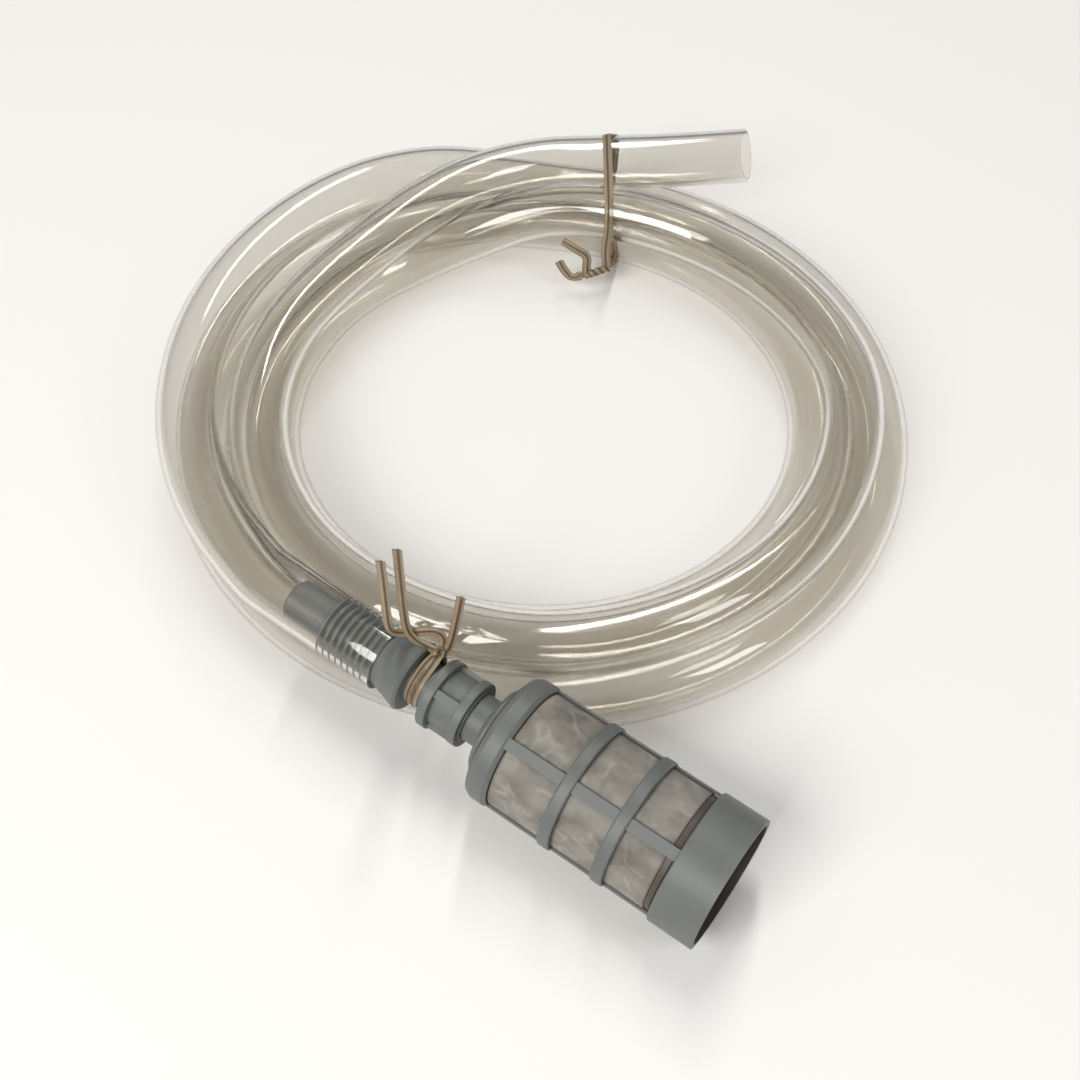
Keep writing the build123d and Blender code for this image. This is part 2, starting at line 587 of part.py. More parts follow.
# The near tie is wound round the spigot's bare part, and its twisted ends stand up over the coil.
wind_place = (SLEEVE_END + RIM_PLACE) / 2 - 0.25 * TIE_WIDTH / 3
wind_inner = SPIGOT_RADIUS + SEATED_FIT
wind_outer = wind_inner + 1.3 * TIE_THICKNESS
with BuildPart() as twist_tie_neck:
    band(wind_place - 0.75 * TIE_WIDTH, wind_place + 0.75 * TIE_WIDTH, wind_inner, wind_outer)
    root = along(wind_place) + Vector(0, 0, wind_outer - TIE_THICKNESS / 2)
    knee = root + Vector(0, 4.5, 6.0)
    for tail_place, tail_y, tail_height in TIE_TAILS:
        tip = Vector(along(wind_place + tail_place).X, tail_y, root.Z + tail_height)
        with BuildLine() as tail_line:
            FilletPolyline(root, knee, tip, radius=2 * TIE_CORE)
        with BuildSketch(Plane(origin=tail_line.line @ 0, z_dir=tail_line.line % 0)):
            Circle(TIE_CORE / 2)
        sweep()
twist_tie_neck.part.label = "twist_tie_neck"
export_step(twist_tie_neck.part, "parts/twist_tie_neck.step")

# ---- Sizes worth knowing -------------------------------------------------------------------------
free_length = sum(edge.length for edge in free_line.line.edges())
free_section = pi * (HOSE_RADIUS**2 - HOSE_BORE**2)
free_tip = free_line.line @ 1
free_direction = free_line.line % 1
print("free end: arc radii", [round(value, 1) for value in free_radii])
print("free end: volume", round(hose_free_end.part.volume, 1), "of", round(free_section * free_length, 1))
print("free end: tip", [round(value, 6) for value in tuple(free_tip)])
print("free end: direction", [round(value, 9) for value in tuple(free_direction)])
print("free end: straight run", round((free_route[-1] - free_route[-2]).length * 0.55, 2))
print("mouth centre", [round(value, 6) for value in tuple(MOUTH_CENTRE)])
print("up the nozzle", [round(value, 9) for value in tuple(INWARD)], "tilt", round(degrees(TILT), 4))
print("coil centre", [round(value, 6) for value in tuple(COIL_CENTRE)])
print("ball travel", round(BALL_TRAVEL, 3), "skirt bore radius", round(SKIRT_INNER, 3))
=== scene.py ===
"""Looks of the gravel vacuum siphon: a coiled clear hose, its strainer nozzle and two twist ties.

The nozzle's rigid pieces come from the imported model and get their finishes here. The hose, the
filter's cloth and the twist ties are modelled here, in metres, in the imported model's own frame.
"""

import logging
import math
from dataclasses import dataclass
from enum import Enum

import bmesh
import bpy
from mathutils import Matrix, Vector, noise


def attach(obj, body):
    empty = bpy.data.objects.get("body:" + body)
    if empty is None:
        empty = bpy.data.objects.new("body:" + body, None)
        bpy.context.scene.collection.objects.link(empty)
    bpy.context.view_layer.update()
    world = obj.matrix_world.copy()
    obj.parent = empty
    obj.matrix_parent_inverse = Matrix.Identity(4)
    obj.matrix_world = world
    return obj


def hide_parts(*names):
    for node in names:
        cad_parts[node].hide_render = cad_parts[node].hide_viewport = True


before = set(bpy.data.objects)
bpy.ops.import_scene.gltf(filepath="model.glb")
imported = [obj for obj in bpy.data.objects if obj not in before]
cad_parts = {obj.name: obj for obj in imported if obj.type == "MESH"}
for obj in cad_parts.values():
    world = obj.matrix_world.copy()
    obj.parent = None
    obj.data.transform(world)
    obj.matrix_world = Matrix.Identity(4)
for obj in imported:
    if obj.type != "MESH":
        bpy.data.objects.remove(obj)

LOG = logging.getLogger("siphon")
MM = 0.001
TWIST_STEPS = 8  # points in each turn of a twist

# Places that the pieces share, as the CAD has them.
MOUTH_CENTRE = Vector((0.070872, 0.0, 0.018954))
UP_THE_NOZZLE = Vector((-0.997564, 0.0, 0.069764))
NOZZLE_TILT = 4.0  # degrees from level, up from the mouth
COIL_CENTRE = Vector((-0.066579, 0.1126, 0.0))
COIL_TURN = 34.9  # degrees from the coil's far side to the nozzle's square direction


def along(place: float) -> Vector:
    """Give the point on the nozzle's axis that is so many millimetres from the mouth."""
    return MOUTH_CENTRE + UP_THE_NOZZLE * place * MM


def round_the_nozzle(place: float, angle: float, radius: float) -> Vector:
    """Give a point beside the nozzle's axis.

    Args:
        place: How far it is from the mouth, in millimetres.
        angle: Degrees from straight up, towards the coil.
        radius: Distance from the axis, in millimetres.

    Returns:
        The point, in metres.
    """
    back = Vector((0.0, 1.0, 0.0))
    up = back.cross(UP_THE_NOZZLE)
    turn = math.radians(angle)
    return along(place) + (up * math.cos(turn) + back * math.sin(turn)) * radius * MM


def round_the_coil(turns: float, radius: float, height: float) -> Vector:
    """Give a point on the coil.

    Args:
        turns: Whole turns from the coil's far side, the way the hose is wound.
        radius: Distance from the coil's axis, in millimetres.
        height: Height over the floor, in millimetres.

    Returns:
        The point, in metres.
    """
    angle = math.radians(90 + COIL_TURN + 360 * turns)
    return COIL_CENTRE + Vector((radius * math.cos(angle), radius * math.sin(angle), height)) * MM


def across_the_coil(right: float, back: float, height: float) -> Vector:
    """Give a point by its distances from the coil's axis, in millimetres.

    Args:
        right: Distance to the side that the nozzle points to.
        back: Distance towards the coil's far side.
        height: Height over the floor.

    Returns:
        The point, in metres.
    """
    turned = Matrix.Rotation(math.radians(COIL_TURN), 3, "Z") @ Vector((right, back, 0))
    return COIL_CENTRE + (turned + Vector((0, 0, height))) * MM


# ---- Shapes --------------------------------------------------------------------------------------
def select_only(*objects: bpy.types.Object) -> None:
    """Leave only these objects selected, with the first one active."""
    bpy.ops.object.select_all(action="DESELECT")
    for obj in objects:
        obj.select_set(True)
    bpy.context.view_layer.objects.active = objects[0]


def recalculate_outside(obj: bpy.types.Object) -> None:
    """Turn all the faces of a closed mesh outwards."""
    select_only(obj)
    bpy.ops.object.mode_set(mode="EDIT")
    bpy.ops.mesh.select_all(action="SELECT")
    bpy.ops.mesh.normals_make_consistent(inside=False)
    bpy.ops.object.mode_set(mode="OBJECT")


def smooth_line(name: str, points: list[Vector], resolution: int) -> bpy.types.Object:
    """Make a curve that starts and ends at the outer points and bends towards the others.

    Args:
        name: The curve's name.
        points: Its points, in metres.
        resolution: How many pieces it has from one point to the next.

    Returns:
        The curve's object, which isn't in the scene yet.
    """
    curve = bpy.data.curves.new(name, "CURVE")
    curve.dimensions = "3D"
    curve.resolution_u = resolution
    spline = curve.splines.new("NURBS")
    spline.points.add(len(points) - 1)
    for point, place in zip(spline.points, points):
        point.co = (*place, 1.0)
    spline.order_u = 3
    spline.use_endpoint_u = True
    return bpy.data.objects.new(name, curve)


def path_along(line: bpy.types.Object) -> list[Vector]:
    """Give the places that a curve without thickness runs through, in metres."""
    bare = bpy.data.meshes.new_from_object(line)
    path = [vertex.co.copy() for vertex in bare.vertices]
    bpy.data.meshes.remove(bare)
    return path


# ---- Finishes ------------------------------------------------------------------------------------
def linear(hex_colour: str) -> tuple[float, float, float, float]:
    """Turn an sRGB hex colour into the linear colour that the shaders read."""
    channels = []
    for start in (1, 3, 5):
        value = int(hex_colour[start : start + 2], 16) / 255
        channels.append(value / 12.92 if value <= 0.04045 else ((value + 0.055) / 1.055) ** 2.4)
    return (*channels, 1.0)


def add_node(
    tree: bpy.types.NodeTree, kind: str, settings: dict | None = None, **links: bpy.types.NodeSocket
) -> bpy.types.Node:
    """Add a node to a material.

    Args:
        tree: The material's node tree.
        kind: The node's type name.
        settings: Attributes of the node, and values of its sockets by name or number.
        **links: Output sockets to link, by input name with underscores for spaces.

    Returns:
        The new node.
    """
    node = tree.nodes.new(kind)
    for name, value in (settings or {}).items():
        if isinstance(name, int) or name in node.inputs:
            node.inputs[name].default_value = value
        else:
            setattr(node, name, value)
    for name, socket in links.items():
        key = int(name[1:]) if name[0] == "_" else name.replace("_", " ")
        tree.links.new(socket, node.inputs[key])
    return node


def new_material(
    name: str, settings: dict
) -> tuple[bpy.types.Material, bpy.types.NodeTree, bpy.types.Node]:
    """Make a material with one shader.

    Args:
        name: The material's name.
        settings: Values of the shader's sockets, by name.

    Returns:
        The material, its node tree and its shader.
    """
    material = bpy.data.materials.new(name)
    material.use_nodes = True
    tree = material.node_tree
    tree.nodes.clear()
    output = add_node(tree, "ShaderNodeOutputMaterial")
    shader = add_node(tree, "ShaderNodeBsdfPrincipled", settings)
    tree.links.new(shader.outputs["BSDF"], output.inputs["Surface"])
    return material, tree, shader


def add_noise(
    tree: bpy.types.NodeTree, place: bpy.types.NodeSocket, size: float, detail: float, **more: float
) -> bpy.types.NodeSocket:
    """Add a cloudy pattern.

    Args:
        tree: The material's node tree.
        place: The coordinates that it lies in, in metres.
        size: Millimetres from one cloud to the next.
        detail: How many finer layers it has.
        **more: Values of its other sockets, by name.

    Returns:
        The pattern's value.
    """
    settings = {"Scale": 1 / (size * MM), "Detail": detail, **more}
    return add_node(tree, "ShaderNodeTexNoise", settings, Vector=place).outputs["Fac"]


def add_range(
    tree: bpy.types.NodeTree,
    value: bpy.types.NodeSocket,
    to: tuple[float, float],
    start: tuple[float, float] = (0.0, 1.0),
) -> bpy.types.NodeSocket:
    """Map a value from one range to another.

    Args:
        tree: The material's node tree.
        value: The value to map.
        to: What it becomes at the two ends of its range, and beyond them.
        start: The two ends of its range.

    Returns:
        The mapped value.
    """
    settings = {"From Min": start[0], "From Max": start[1], "To Min": to[0], "To Max": to[1]}
    return add_node(tree, "ShaderNodeMapRange", settings, Value=value).outputs["Result"]


def add_ramp(
    tree: bpy.types.NodeTree, value: bpy.types.NodeSocket, *stops: tuple[float, str]
) -> bpy.types.NodeSocket:
    """Turn a value into a colour.

    Args:
        tree: The material's node tree.
        value: The value to turn.
        *stops: Rising values with the sRGB hex colour at each, two or more.

    Returns:
        The colour.
    """
    ramp = add_node(tree, "ShaderNodeValToRGB", Fac=value)
    elements = ramp.color_ramp.elements
    elements[0].position, elements[1].position = stops[0][0], stops[-1][0]
    for place, _ in stops[1:-1]:
        elements.new(place)
    for element, (_, colour) in zip(elements, stops):
        element.color = linear(colour)
    return ramp.outputs["Color"]


def add_bump(
    tree: bpy.types.NodeTree,
    shader: bpy.types.Node,
    height: bpy.types.NodeSocket,
    depth: tuple[float, float],
) -> None:
    """Press a pattern into a shader's surface.

    Args:
        tree: The material's node tree.
        shader: The shader.
        height: The pattern.
        depth: The bump's strength, from 0 to 1, and its full depth in millimetres.
    """
    settings = {"Strength": depth[0], "Distance": depth[1] * MM}
    bump = add_node(tree, "ShaderNodeBump", settings, Height=height)
    tree.links.new(bump.outputs["Normal"], shader.inputs["Normal"])


@dataclass(frozen=True)
class ClearVinyl:
    """Flexible PVC tube, extruded clear: glossy, faintly warm, with slow swells in its wall."""

    tint: str = "#F3F1ED"
    edge: str = "#2B2622"  # partly the long path of light along the wall, partly painted shade for the tube's dark edge lines
    outline_shade_power: float = 5.0  # how near the outline the painted edge shade keeps
    shadow: str = "#F7F6F4"
    ior: float = 1.53
    roughness: float = 0.035
    ripple: float = 30.0  # millimetres from one swell of the wall to the next
    ripple_depth: tuple[float, float] = (0.02, 0.4)

    def material(self) -> bpy.types.Material:
        """Make the finish's material."""
        material, tree, shader = new_material(
            "clear extruded vinyl",
            {"Roughness": self.roughness, "IOR": self.ior, "Transmission Weight": 1.0},
        )
        surface = shader.outputs["BSDF"].links[0].to_socket
        # Painted shade: the colour darkens towards the outline, for the dark lines along the tube's
        # edges.
        facing = add_node(tree, "ShaderNodeLayerWeight", {"Blend": 0.5}).outputs["Facing"]
        edge_shade = add_node(
            tree, "ShaderNodeMath", {"operation": "POWER", 1: self.outline_shade_power}, _0=facing
        )
        colour = add_node(
            tree,
            "ShaderNodeMix",
            {"data_type": "RGBA", 6: linear(self.tint), 7: linear(self.edge)},
            _0=edge_shade.outputs[0],
        )
        tree.links.new(colour.outputs[2], shader.inputs["Base Color"])
        place = add_node(tree, "ShaderNodeTexCoord").outputs["Object"]
        swell = add_noise(tree, place, self.ripple, 1.0)
        add_bump(tree, shader, swell, self.ripple_depth)
        # Light passes straight through the clear wall, so its shadow is only what the wall takes.
        path = add_node(tree, "ShaderNodeLightPath").outputs
        ray = add_node(
            tree,
            "ShaderNodeMath",
            {"operation": "MAXIMUM"},
            _0=path["Is Shadow Ray"],
            _1=path["Is Diffuse Ray"],
        )
        lit = add_node(tree, "ShaderNodeBsdfTransparent", {"Color": linear(self.shadow)})
        mixed = add_node(
            tree,
            "ShaderNodeMixShader",
            _0=ray.outputs[0],
            _1=shader.outputs["BSDF"],
            _2=lit.outputs["BSDF"],
        )
        tree.links.new(mixed.outputs["Shader"], surface)
        return material


@dataclass(frozen=True)
class MouldedPlastic:
    """Injection-moulded polypropylene: satin, with a fine eroded grain and faint flow marks."""

    name: str
    colour: str
    cloud: str  # the colour of its faint flow marks
    roughness: float = 0.46
    grain: float = 0.35  # millimetres from one grain to the next; the real 0.1 would not show
    flow: float = 9.0  # millimetres across a flow mark
    flow_edges: tuple[float, float] = (0.35, 0.70)  # where a flow mark starts and is full
    gloss_spread: tuple[float, float] = (-0.05, 0.08)  # roughness less and more along the marks
    grain_depth: tuple[float, float] = (0.25, 0.03)

    def material(self) -> bpy.types.Material:
        """Make the finish's material."""
        material, tree, shader = new_material(self.name, {"IOR": 1.49})
        place = add_node(tree, "ShaderNodeTexCoord").outputs["Object"]
        flow = add_noise(tree, place, self.flow, 3.0)
        start, full = self.flow_edges
        shade = add_ramp(tree, flow, (start, self.colour), (full, self.cloud))
        tree.links.new(shade, shader.inputs["Base Color"])
        less, more = self.gloss_spread
        gloss = add_range(tree, flow, (self.roughness + less, self.roughness + more))
        tree.links.new(gloss, shader.inputs["Roughness"])
        grain = add_noise(tree, place, self.grain, 2.0)
        add_bump(tree, shader, grain, self.grain_depth)
        return material


@dataclass(frozen=True)
class ShadedBoreMoulding(MouldedPlastic):
    """The cage's moulding, with painted shade in dark brown on its surfaces inside the bore."""

    # Painted shade: the dark brown that the cage's surfaces inside its bore take.
    film: str = "#4B423A"
    bore: float = 17.45  # millimetres from the axis to where the painted shade ends
    shade_fade: float = 0.5  # millimetres over which the painted shade fades out

    def material(self) -> bpy.types.Material:
        """Make the finish's material."""
        material = super().material()
        tree = material.node_tree
        shader = next(node for node in tree.nodes if node.type == "BSDF_PRINCIPLED")
        clean = shader.inputs["Base Color"].links[0].from_socket
        place = add_node(tree, "ShaderNodeTexCoord").outputs["Object"]
        tilt = (0.0, math.radians(NOZZLE_TILT), 0.0)
        centred = add_node(
            tree,
            "ShaderNodeMapping",
            {"vector_type": "TEXTURE", "Location": tuple(MOUTH_CENTRE), "Rotation": tilt},
            Vector=place,
        )
        across = add_node(
            tree,
            "ShaderNodeVectorMath",
            {"operation": "MULTIPLY", 1: (0.0, 1 / MM, 1 / MM)},
            _0=centred.outputs[0],
        )
        radius = add_node(
            tree, "ShaderNodeVectorMath", {"operation": "LENGTH"}, _0=across.outputs[0]
        )
        # Painted shade: surfaces nearer the axis than the bore take the dark brown.
        inside = add_range(
            tree, radius.outputs["Value"], (1.0, 0.0), (self.bore, self.bore + self.shade_fade)
        )
        mixed = add_node(
            tree,
            "ShaderNodeMix",
            {"data_type": "RGBA", 7: linear(self.film)},
            _0=inside,
            _6=clean,
        )
        tree.links.new(mixed.outputs[2], shader.inputs["Base Color"])
        return material


class Weave(Enum):
    """Where a cloth's threads run: by its own map, or square across the nozzle."""

    MAPPED = "UV"
    ACROSS = "Object"


@dataclass(frozen=True)
class NylonMesh:
    """Fine woven nylon filter cloth: dull and grey-beige with silt in it, with painted highlights
    along its creases.
    """

    weave: Weave
    thread: float = 0.5  # millimetres from thread to thread; the real 0.15 would not show
    thread_shading: tuple[float, float] = (0.80, 1.06)  # shares of the colour between threads, as painted shade, and on them, as painted light
    thread_depth: tuple[float, float] = (0.5, 0.08)
    clean: str = "#918D83"
    silted: str = "#6D6960"
    silt: float = 11.0  # millimetres from one silted patch to the next
    silt_edges: tuple[float, float] = (0.36, 0.62)  # where silt is full and where it ends
    # Painted highlights: the pale colour of the glints along the creases.
    crease: str = "#C9C4BA"
    crease_spread: float = 10.0  # millimetres from one crease to the next
    crease_width: float = 0.045  # the part of the pattern's range that a crease takes
    crease_glint: float = 0.28  # the share of the painted highlight's colour that a crease has
    crease_run: float = 6.0  # millimetres along a crease from one fading to the next
    crease_fade: tuple[float, float] = (0.42, 0.62)  # where a crease starts and is full

    def threads(
        self, tree: bpy.types.NodeTree, place: bpy.types.NodeSocket
    ) -> bpy.types.NodeSocket:
        """Give the height of the crossing threads."""
        scale = math.pi / 10 / (self.thread * MM)
        bands = []
        for direction in ("X", "Y") if self.weave is Weave.MAPPED else ("Y", "Z"):
            settings = {"bands_direction": direction, "Scale": scale, "Distortion": 0.0}
            wave = add_node(tree, "ShaderNodeTexWave", settings, Vector=place)
            bands.append(wave.outputs["Fac"])
        higher = add_node(
            tree, "ShaderNodeMath", {"operation": "MAXIMUM"}, _0=bands[0], _1=bands[1]
        )
        return higher.outputs[0]

    def creases(
        self, tree: bpy.types.NodeTree, place: bpy.types.NodeSocket
    ) -> bpy.types.NodeSocket:
        """Give the strength of the painted highlights along the creases."""
        # Painted highlights of creases lie where a slow pattern passes its middle value, and fade
        # in and out along it.
        folds = add_noise(tree, place, self.crease_spread, 2.0, Distortion=0.3)
        off = add_node(tree, "ShaderNodeMath", {"operation": "SUBTRACT", 1: 0.5}, _0=folds)
        near = add_node(tree, "ShaderNodeMath", {"operation": "ABSOLUTE"}, _0=off.outputs[0])
        line = add_range(
            tree, near.outputs[0], (self.crease_glint, 0.0), (0.0, self.crease_width)
        )
        fade = add_range(
            tree, add_noise(tree, place, self.crease_run, 2.0), (0.0, 1.0), self.crease_fade
        )
        return add_node(
            tree, "ShaderNodeMath", {"operation": "MULTIPLY"}, _0=line, _1=fade
        ).outputs[0]

    def material(self) -> bpy.types.Material:
        """Make the finish's material."""
        material, tree, shader = new_material(
            f"woven nylon mesh {self.weave.name.lower()}",
            {"Roughness": 0.62, "IOR": 1.5, "Sheen Weight": 0.25, "Sheen Roughness": 0.4},
        )
        coordinates = add_node(tree, "ShaderNodeTexCoord")
        place = coordinates.outputs["Object"]
        silt = add_noise(tree, place, self.silt, 4.0, Roughness=0.6)
        full, end = self.silt_edges
        cloudy = add_ramp(tree, silt, (full, self.silted), (end, self.clean))
        # Painted highlights: the pale glint colour is mixed in along the creases.
        glinted = add_node(
            tree,
            "ShaderNodeMix",
            {"data_type": "RGBA", 7: linear(self.crease)},
            _0=self.creases(tree, place),
            _6=cloudy,
        )
        height = self.threads(tree, coordinates.outputs[self.weave.value])
        # Painted shade between the threads and painted light on their tops, by the threads' height.
        threaded = add_node(
            tree,
            "ShaderNodeVectorMath",
            {"operation": "SCALE"},
            _0=glinted.outputs[2],
            Scale=add_range(tree, height, self.thread_shading),
        )
        tree.links.new(threaded.outputs[0], shader.inputs["Base Color"])
        add_bump(tree, shader, height, self.thread_depth)
        return material


@dataclass(frozen=True)
class TiePlastic:
    """Twist tie of tan plastic film pressed over a wire: satin, with painted shade along the wire's
    ridge, and darker towards its edges.
    """

    film: str = "#A08E73"
    edge: str = "#7F705A"
    # Painted shade along the wire's ridge.
    ridge: str = "#574735"
    ridge_place: float = 0.2  # millimetres from the strip's middle
    reach: float = 1.8  # millimetres from the ridge to where the shades below end
    shades: tuple[float, float, float] = (0.10, 0.32, 0.95)  # where ridge, film and edge lie
    wear: float = 1.4  # millimetres from one worn spot to the next
    wear_light: tuple[float, float] = (0.78, 1.18)  # shares of the colour in the spots and beside
    wear_depth: tuple[float, float] = (0.3, 0.05)

    def material(self) -> bpy.types.Material:
        """Make the finish's material."""
        material, tree, shader = new_material(
            "tan twist tie film", {"Roughness": 0.42, "IOR": 1.5}
        )
        coordinates = add_node(tree, "ShaderNodeTexCoord")
        across = add_node(tree, "ShaderNodeSeparateXYZ", Vector=coordinates.outputs["UV"])
        beside = add_node(
            tree,
            "ShaderNodeMath",
            {"operation": "SUBTRACT", 1: self.ridge_place * MM},
            _0=across.outputs["X"],
        )
        away = add_node(tree, "ShaderNodeMath", {"operation": "ABSOLUTE"}, _0=beside.outputs[0])
        share = add_node(
            tree,
            "ShaderNodeMath",
            {"operation": "MULTIPLY", 1: 1 / (self.reach * MM)},
            _0=away.outputs[0],
        )
        # Painted shade: darkest at the ridge, and darker towards the edges than on the flat film.
        colours = (self.ridge, self.film, self.edge)
        shade = add_ramp(tree, share.outputs[0], *zip(self.shades, colours))
        wear = add_noise(tree, coordinates.outputs["Object"], self.wear, 3.0)
        colour = add_node(
            tree,
            "ShaderNodeVectorMath",
            {"operation": "SCALE"},
            _0=shade,
            Scale=add_range(tree, wear, self.wear_light),
        )
        tree.links.new(colour.outputs[0], shader.inputs["Base Color"])
        add_bump(tree, shader, wear, self.wear_depth)
        return material


@dataclass(frozen=True)
class SealRubber:
    """Moulded nitrile rubber: near-black, smooth, with a grey bloom in patches."""

    body: str = "#1C1C1D"
    bloom: str = "#343434"
    patch: float = 2.5  # millimetres from one patch to the next
    patch_edges: tuple[float, float] = (0.42, 0.75)  # where the bloom starts and is full
    patch_depth: tuple[float, float] = (0.2, 0.02)

    def material(self) -> bpy.types.Material:
        """Make the finish's material."""
        material, tree, shader = new_material(
            "moulded nitrile rubber", {"Roughness": 0.28, "IOR": 1.52}
        )
        place = add_node(tree, "ShaderNodeTexCoord").outputs["Object"]
        patches = add_noise(tree, place, self.patch, 4.0)
        start, full = self.patch_edges
        shade = add_ramp(tree, patches, (start, self.body), (full, self.bloom))
        tree.links.new(shade, shader.inputs["Base Color"])
        add_bump(tree, shader, patches, self.patch_depth)
        return material


@dataclass(frozen=True)
class SpringSteel:
    """Stainless spring wire, cold drawn: bright, with a few dull spots."""

    colour: str = "#B9B6B0"
    dull: str = "#8E8A84"
    spot: float = 1.2  # millimetres from one spot to the next
    spot_edges: tuple[float, float] = (0.45, 0.72)  # where a spot starts and is full
    roughness: tuple[float, float] = (0.22, 0.42)

    def material(self) -> bpy.types.Material:
        """Make the finish's material."""
        material, tree, shader = new_material("drawn stainless spring wire", {"Metallic": 1.0})
        place = add_node(tree, "ShaderNodeTexCoord").outputs["Object"]
        spots = add_noise(tree, place, self.spot, 3.0)
        start, full = self.spot_edges
        shade = add_ramp(tree, spots, (start, self.colour), (full, self.dull))
        tree.links.new(shade, shader.inputs["Base Color"])
        tree.links.new(add_range(tree, spots, self.roughness), shader.inputs["Roughness"])
        return material


# ---- Hose ----------------------------------------------------------------------------------------
@dataclass
class Hose:
    """The clear hose: over the barbs, more than three turns round the coil, and out."""

    outside: float = 19.0  # millimetres across
    wall: float = 1.55
    barb_places: tuple[float, ...] = (110.0, 123.0, 137.0, 151.0)  # along the nozzle's axis
    steps: int = 24  # points in each turn
    # Where each turn lies: turns from the far side, radius and height. The hose leaves the nozzle
    # on top outside, drops to the floor outside, then inside, and ends on top.
    lanes: tuple[tuple[float, float, float], ...] = (
        (3.375, 113.0, 29.8),
        (3.25, 111.5, 28.5),
        (3.125, 111.5, 28.5),
        (3.083, 112.5, 26.5),
        (3.042, 114.0, 20.5),
        (3.0, 111.5, 11.0),
        (2.958, 110.5, 9.9),
        (2.875, 110.5, 9.5),
        (2.167, 110.5, 9.5),
        (2.125, 108.5, 9.5),
        (2.083, 104.5, 9.5),
        (2.042, 99.0, 9.5),
        (2.0, 93.5, 9.7),
        (1.958, 91.5, 9.9),
        (1.875, 91.5, 9.5),
        (1.125, 87.5, 9.5),
        (1.083, 85.5, 11.0),
        (1.042, 83.0, 17.5),
        (1.0, 82.0, 25.5),
        (0.958, 83.0, 27.0),
        (0.896, 85.0, 26.5),
        (0.833, 91.0, 26.2),
        (0.75, 99.5, 26.2),
        (0.625, 102.5, 26.4),
        (0.5, 103.5, 26.6),
        (0.375, 97.0, 27.0),
        (0.25, 87.5, 28.0),
        (0.167, 82.0, 28.5),
        (0.125, 82.0, 29.0),
        (0.083, 86.5, 30.3),
        (0.042, 94.5, 30.5),
        (0.0, 102.5, 29.3),
    )
    free_end: tuple[tuple[float, float, float], ...] = (
        (-105.9, 212.6, 28.9),
        (-86.0, 227.9, 28.8),
        (-67.1457, 244.4974, 28.8),
    )
    length: float = 2.22  # metres

    def points(self) -> list[Vector]:
        """Give the route's points, from the hose's end on the barbs to its free end."""
        route = [along(place) for place in self.barb_places]
        first = math.floor(self.lanes[0][0] * self.steps)
        # A smooth line passes inside the points of a ring, so they stand out by this share.
        stand_out = 1 / math.cos(math.pi / self.steps)
        for step in range(first, -1, -1):
            turns = step / self.steps
            for lane, next_lane in zip(self.lanes, self.lanes[1:]):
                (here, radius, height), (after, next_radius, next_height) = lane, next_lane
                if turns >= after - 1e-3:
                    share = min(max((here - turns) / (here - after), 0), 1)
                    break
            radius += (next_radius - radius) * share
            height += (next_height - height) * share
            route.append(round_the_coil(turns, radius * stand_out, height))
        return route + [Vector(point) * MM for point in self.free_end]

    def build(self, ties: list[bpy.types.Object]) -> bpy.types.Object:
        """Args:
            ties: The twist ties on the hose; not used.

        Returns:
            The hose's mesh.
        """
        tube = smooth_line("clear_hose", self.points(), 10)
        bpy.context.scene.collection.objects.link(tube)
        path = [tuple(place) for place in path_along(tube)]
        run = sum((Vector(b) - Vector(a)).length for a, b in zip(path, path[1:]))
        LOG.info("hose runs %.3f m over %d points", run, len(path))
        tube.data.bevel_depth = self.outside / 2 * MM
        tube.data.bevel_resolution = 12
        select_only(tube)
        bpy.ops.object.convert(target="MESH")
        walls = tube.modifiers.new("wall", "SOLIDIFY")
        walls.thickness = self.wall * MM
        walls.offset = -1.0
        bpy.ops.object.modifier_apply(modifier=walls.name)
        recalculate_outside(tube)
        bpy.ops.object.shade_smooth_by_angle(angle=math.radians(40))
        tube.data.materials.clear()
        tube.data.materials.append(ClearVinyl().material())
        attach(tube, "hose")
        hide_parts("hose_coil", "hose_free_end", "hose_tail_end")
        return tube


# ---- Nozzle --------------------------------------------------------------------------------------
@dataclass
class Nozzle:
    """The strainer nozzle's moulded pieces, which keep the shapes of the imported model."""

    moulded: tuple[str, ...] = ("hose_tail", "neck_collar")
    caged: tuple[str, ...] = ("strainer_cage",)
    inner: tuple[str, ...] = ("mesh_frame", "end_grille", "valve_seat", "ball_stop")
    rubber: tuple[str, ...] = ("tail_o_ring", "seat_o_ring")
    steel: tuple[str, ...] = ("retaining_clip",)
    ball: tuple[str, ...] = ("check_ball",)
    disc: tuple[str, ...] = ("end_mesh",)
    outside_colours: tuple[str, str] = ("#646765", "#6C6F6C")  # the plastic and its flow marks
    # Painted shade: the pieces inside the bore are coloured dark brown for the shade there, with
    # faint flow marks.
    inner_shade_colours: tuple[str, str] = ("#4A4038", "#564B41")
    ball_colours: tuple[str, str] = ("#D9D3C4", "#E6E1D5")

    def build(self) -> None:
        """Dress the pieces."""
        grey, outside = "blue-grey moulded polypropylene", self.outside_colours
        tumbled = MouldedPlastic(
            "ivory tumbled polypropylene", *self.ball_colours, roughness=0.3, grain=0.5, flow=4.0
        )
        for names, finish in (
            (self.moulded, MouldedPlastic(grey, *outside)),
            (self.caged, ShadedBoreMoulding(f"{grey}, stained inside", *outside)),
            (self.inner, MouldedPlastic("moulded polypropylene in painted shade", *self.inner_shade_colours)),
            (self.rubber, SealRubber()),
            (self.steel, SpringSteel()),
            (self.ball, tumbled),
            (self.disc, NylonMesh(Weave.ACROSS)),
        ):
            material = finish.material()
            for name in names:
                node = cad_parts[name]
                node.data.materials.clear()
                node.data.materials.append(material)
                LOG.info("%s: %s", name, material.name)


